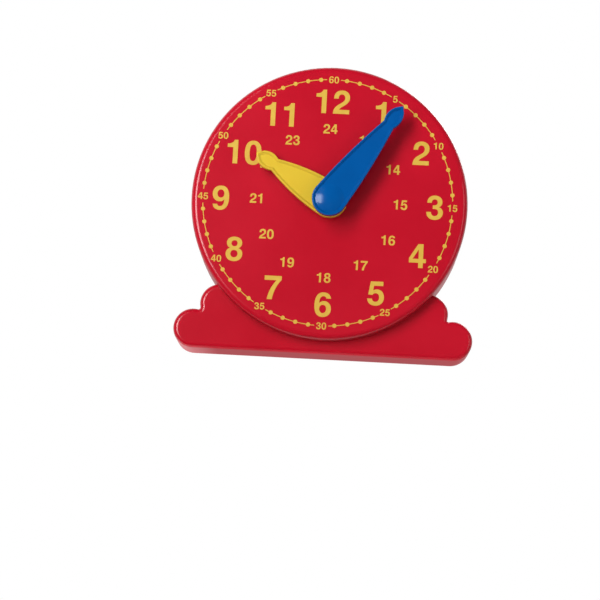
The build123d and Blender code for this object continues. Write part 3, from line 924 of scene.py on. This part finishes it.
    def build(self) -> list[bpy.types.Object]:
        """Print the dial.

        Returns:
            The printed pieces, riding on the housing.
        """
        hours = [Numeral(*hour) for hour in self.HOURS]
        afternoon = [Numeral(*hour) for hour in self.AFTERNOON]
        marked = range(self.MINUTES_MARKED, self.MINUTES + 1, self.MINUTES_MARKED)
        pieces = [
            self.figures("hour_figures", hours, self.hour_height),
            self.figures("afternoon_figures", afternoon, self.afternoon_height),
            self.figures("minute_figures", map(self.label_numeral, marked), self.minute_height),
            self.minute_track(),
        ]
        for piece in pieces:
            Finish.INK.dress(piece)
            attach(piece, "housing")
        return pieces


@dataclass(frozen=True)
class Dressing:
    """Finish of each modelled piece of one sub-assembly."""

    title: str
    finishes: tuple[tuple[str, Finish], ...]

    def build(self) -> list[bpy.types.Object]:
        """Dress the pieces.

        Returns:
            The dressed pieces.
        """
        pieces = []
        for name, finish in self.finishes:
            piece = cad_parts[name]
            finish.dress(piece)
            pieces.append(piece)
        return pieces


CASE = Dressing("case", (
    ("front_housing", Finish.RED_PLASTIC),
    ("rear_cover", Finish.COVER_PLASTIC),
    ("cover_screws", Finish.ZINC_STEEL),
    ("dial_bush", Finish.RED_PLASTIC),
))
HANDS = Dressing("hands", (
    ("minute_hand", Finish.BLUE_PLASTIC),
    ("hour_hand", Finish.YELLOW_PLASTIC),
    ("hand_spacer", Finish.WASHER_PLASTIC),
))
WORKS = Dressing("works", (
    ("gear_bridge", Finish.WHITE_PLASTIC),
    ("bridge_screws", Finish.ZINC_STEEL),
    ("arbor_bush", Finish.WHITE_PLASTIC),
    ("minute_arbor", Finish.STEEL),
    ("minute_pinion", Finish.WHITE_PLASTIC),
    ("intermediate_gear", Finish.WHITE_PLASTIC),
    ("intermediate_axle", Finish.STEEL),
    ("hour_wheel", Finish.YELLOW_PLASTIC),
    ("arbor_clip", Finish.SPRING_STEEL),
    ("arbor_washer", Finish.WASHER_PLASTIC),
    ("axle_clip", Finish.SPRING_STEEL),
    ("axle_front_washer", Finish.WASHER_PLASTIC),
    ("axle_rear_washer", Finish.WASHER_PLASTIC),
    ("friction_spring", Finish.SPRING_STEEL),
    ("friction_washer", Finish.WASHER_PLASTIC),
    ("wheel_spacer", Finish.WASHER_PLASTIC),
))


# ---------------------------------------------------------------- studio


def direction_to(around: float, above: float) -> Vector:
    """Unit vector from the clock to a place round it.

    Args:
        around: Degrees to the right of straight in front.
        above: Degrees above level.

    Returns:
        The direction, in the clock's frame.
    """
    turn, rise = math.radians(around), math.radians(above)
    return Vector((math.sin(turn) * math.cos(rise), -math.cos(turn) * math.cos(rise), math.sin(rise)))


@dataclass(frozen=True)
class Softbox:
    """A soft lamp, placed by degrees round and above its target.

    One that doesn't shine shows in reflections only, and one that isn't mirrored only lights.
    """

    name: str
    around: float
    above: float
    distance: float
    sides: tuple[float, float]
    power: float
    shines: bool = True
    mirrored: bool = True

    def build(self, target: Vector) -> None:
        """Hang the lamp.

        Args:
            target: The point that the lamp looks at, which its angles and distance start from.
        """
        light = bpy.data.lights.new(self.name, "AREA")
        light.shape = "RECTANGLE"
        light.size, light.size_y = self.sides
        light.energy = self.power
        lamp = bpy.data.objects.new(self.name, light)
        away = direction_to(self.around, self.above)
        lamp.location = target + self.distance * away
        lamp.rotation_euler = (-away).to_track_quat("-Z", "Y").to_euler()
        lamp.visible_camera = False
        lamp.visible_diffuse = self.shines
        lamp.visible_glossy = self.mirrored
        bpy.context.scene.collection.objects.link(lamp)


@dataclass(frozen=True)
class Camera:
    """Camera in front of the clock and a little below it.

    Azimuth and elevation give its place round the target, and yaw, pitch and roll its own turn, all
    in degrees. The focal length is in pixels of a picture of that side.
    """

    distance: float = 0.95
    azimuth: float = 0.5
    elevation: float = -9.8
    yaw: float = -1.086
    pitch: float = 7.42
    roll: float = 3.1
    focal_pixels: float = 2390.0
    picture_side: float = 600.0
    sensor_width: float = 36.0
    clip: tuple[float, float] = (0.05, 20.0)
    target: tuple[float, float, float] = (0.0, -0.017, 0.060)

    def build(self) -> None:
        """Place the camera and make it the scene's."""
        back = direction_to(self.azimuth, self.elevation)
        yaw, pitch, roll = (math.radians(angle) for angle in (self.yaw, self.pitch, self.roll))
        ahead = math.cos(pitch)
        forward = Vector((math.sin(yaw) * ahead, math.cos(yaw) * ahead, math.sin(pitch)))
        level = Vector((math.cos(yaw), -math.sin(yaw), 0.0))
        upright = level.cross(forward)
        right = math.cos(roll) * level + math.sin(roll) * upright
        up = right.cross(forward)
        data = bpy.data.cameras.new("camera")
        data.sensor_width = self.sensor_width
        data.lens = self.focal_pixels * self.sensor_width / self.picture_side
        data.clip_start, data.clip_end = self.clip
        camera = bpy.data.objects.new("camera", data)
        turn = Matrix((right, up, -forward)).transposed().to_4x4()
        camera.matrix_world = Matrix.Translation(Vector(self.target) + self.distance * back) @ turn
        bpy.context.scene.collection.objects.link(camera)
        bpy.context.scene.camera = camera


@dataclass(frozen=True)
class Studio:
    """Pale floor, white surroundings and soft lamps.

    The under_ fields set the glow of the floor below the clock, a painted light that lights the clock's
    underside and paints a reflection on it, brighter at its left end. The room_ fields
    set how dim reflections are in front, and over which forward parts of a direction they dim.
    """

    floor_half: float = 2.5
    floor_drop: float = 0.05 * MM
    floor_colour: Colour = (0.66, 0.66, 0.65)
    floor_lift: float = 0.38
    fade_range: tuple[float, float] = (0.45, 1.3)
    mottle: Patches = Patches(fineness=9.0, detail=3.0, low=0.3, high=0.7)
    mottle_shade: float = 0.985
    under_half: tuple[float, float] = (66.0 * MM, 11.0 * MM)
    under_light: float = 0.92
    # Glow mirrored in the underside, a painted reflection, from its left end to its right end.
    under_gloss: tuple[float, float] = (1.7, 0.40)
    under_end: tuple[float, float] = (-60.0 * MM, -42.0 * MM)
    ambient: float = 0.20
    room_gloss: float = 0.05
    room_cone: tuple[float, float] = (-0.25, 0.15)
    aim: tuple[float, float, float] = (0.0, 0.0, 0.06)
    lamps: tuple[Softbox, ...] = (
        Softbox("key_lamp", -28.0, 14.0, 1.0, sides=(0.32, 0.9), power=9.2, mirrored=False),
        Softbox("key_gloss", -29.0, 6.5, 1.0, sides=(0.30, 0.38), power=5.0, shines=False),
        Softbox("fill_lamp", 45.0, 3.0, 1.1, sides=(0.30, 0.6), power=1.1),
        Softbox("rear_lamp", 149.0, 32.0, 1.4, sides=(0.60, 0.6), power=9.0),
    )

    def floor(self) -> None:
        """Lay the floor."""
        shape = bmesh.new()
        level = Matrix.Translation((0.0, 0.0, -self.floor_drop))
        bmesh.ops.create_grid(shape, x_segments=1, y_segments=1, size=self.floor_half, matrix=level)
        floor = new_piece("floor", shape)
        if floor.data.polygons[0].normal.z < 0:
            floor.data.flip_normals()
        floor.data.materials.append(self.floor_material())

    def under_clock(self, tree: Tree, place: Socket) -> Socket:
        """Mask of the floor that lies under the clock and just round it, where the floor glows as a
        painted light.

        Args:
            tree: The floor's tree.
            place: The point of the floor.

        Returns:
            1 inside and 0 outside.
        """
        across, along, _ = add_node(tree, "ShaderNodeSeparateXYZ", {0: place}).outputs
        inside = [
            arithmetic(tree, "LESS_THAN", arithmetic(tree, "ABSOLUTE", way), half)
            for way, half in zip((across, along), self.under_half)
        ]
        return arithmetic(tree, "MULTIPLY", *inside)

    def under_shader(self, tree: Tree, place: Socket, glossy: Socket) -> Socket:
        """Glow of the floor under the clock: a painted light that the clock's underside receives, and a
        painted reflection that it mirrors, brighter at its left end.

        Args:
            tree: The floor's tree.
            place: The point of the floor.
            glossy: 1 for a reflection and 0 for other light.

        Returns:
            The shader.
        """
        across = add_node(tree, "ShaderNodeSeparateXYZ", {0: place}).outputs["X"]
        mirrored = remap(tree, across, *self.under_end, *self.under_gloss)
        strength = remap(tree, glossy, 0.0, 1.0, self.under_light, mirrored)
        return add_node(tree, "ShaderNodeEmission", {"Strength": strength}).outputs[0]

    def floor_material(self) -> bpy.types.Material:
        """Matt pale floor that fades into white, lets lamps through and isn't seen from below. Under the
        clock it glows, unseen by the camera, as a painted light and a painted reflection on the clock's
        underside.

        Returns:
            The material.
        """
        material = bpy.data.materials.new("pale_floor")
        material.use_nodes = True
        material.cycles.emission_sampling = "NONE"
        tree = material.node_tree
        tree.nodes.clear()
        place = object_place(tree)
        path = add_node(tree, "ShaderNodeLightPath").outputs
        shaded = tuple(self.mottle_shade * level for level in self.floor_colour)
        colour = blend_colour(tree, self.mottle.add(tree, place), shaded, self.floor_colour)
        matt = add_node(tree, "ShaderNodeBsdfDiffuse", {"Color": colour}).outputs[0]
        lift = arithmetic(tree, "MULTIPLY", path["Is Camera Ray"], self.floor_lift)
        glow = add_node(tree, "ShaderNodeEmission", {"Strength": lift}).outputs[0]
        matt = add_node(tree, "ShaderNodeAddShader", {0: matt, 1: glow}).outputs[0]
        white = add_node(tree, "ShaderNodeEmission", {"Strength": 1.0}).outputs[0]
        reach = add_node(tree, "ShaderNodeVectorMath", {0: place}, operation="LENGTH").outputs["Value"]
        fade = remap(tree, reach, *self.fade_range, 0.0, 1.0)
        plain = add_node(tree, "ShaderNodeMixShader", {0: fade, 1: matt, 2: white}).outputs[0]
        clear = add_node(tree, "ShaderNodeBsdfTransparent").outputs[0]
        glossy = path["Is Glossy Ray"]
        mirrored = add_node(tree, "ShaderNodeMixShader", {0: glossy, 1: plain, 2: clear}).outputs[0]
        # The patch under the clock glows for all but camera rays: painted light and a painted reflection
        # on the clock's underside.
        under = self.under_shader(tree, place, glossy)
        unseen = arithmetic(tree, "SUBTRACT", 1.0, path["Is Camera Ray"])
        near = arithmetic(tree, "MULTIPLY", unseen, self.under_clock(tree, place))
        upper = add_node(tree, "ShaderNodeMixShader", {0: near, 1: mirrored, 2: under}).outputs[0]
        behind = add_node(tree, "ShaderNodeNewGeometry").outputs["Backfacing"]
        through = arithmetic(tree, "MAXIMUM", behind, path["Is Shadow Ray"])
        both = add_node(tree, "ShaderNodeMixShader", {0: through, 1: upper, 2: clear}).outputs[0]
        add_node(tree, "ShaderNodeOutputMaterial", {"Surface": both})
        return material

    def surroundings(self) -> None:
        """Set the world: white to the eye, a plain ambient light, and dim in front where mirrored."""
        world = bpy.data.worlds.new("studio")
        world.use_nodes = True
        tree = world.node_tree
        tree.nodes.clear()
        path = add_node(tree, "ShaderNodeLightPath").outputs
        way = add_node(tree, "ShaderNodeTexCoord").outputs["Generated"]
        inward = add_node(tree, "ShaderNodeSeparateXYZ", {0: way}).outputs["Y"]
        ahead = arithmetic(tree, "MULTIPLY", inward, -1.0)
        mirrored = remap(tree, ahead, *self.room_cone, 1.0, self.room_gloss)
        unseen = remap(tree, path["Is Glossy Ray"], 0.0, 1.0, self.ambient, mirrored)
        seen = arithmetic(tree, "MAXIMUM", path["Is Camera Ray"], path["Is Transmission Ray"])
        strength = arithmetic(tree, "MAXIMUM", seen, unseen)
        white = {"Strength": strength, "Color": (1.0, 1.0, 1.0, 1.0)}
        light = add_node(tree, "ShaderNodeBackground", white).outputs[0]
        add_node(tree, "ShaderNodeOutputWorld", {"Surface": light})
        bpy.context.scene.world = world

    def build(self) -> None:
        """Set up the studio."""
        self.floor()
        self.surroundings()
        for lamp in self.lamps:
            lamp.build(Vector(self.aim))
        bpy.context.scene.view_settings.view_transform = "Standard"


def main() -> None:
    """Build the clock's looks and its studio."""
    logging.basicConfig(level=logging.INFO, format="%(name)s: %(message)s")
    Camera().build()
    Studio().build()
    for assembly in (CASE, HANDS, WORKS):
        for piece in assembly.build():
            LOG.info("%s: dressed %s", assembly.title, piece.name)
    for piece in DialPrint().build():
        LOG.info("dial print: %s, %d faces", piece.name, len(piece.data.polygons))


if __name__ == "__main__":
    main()
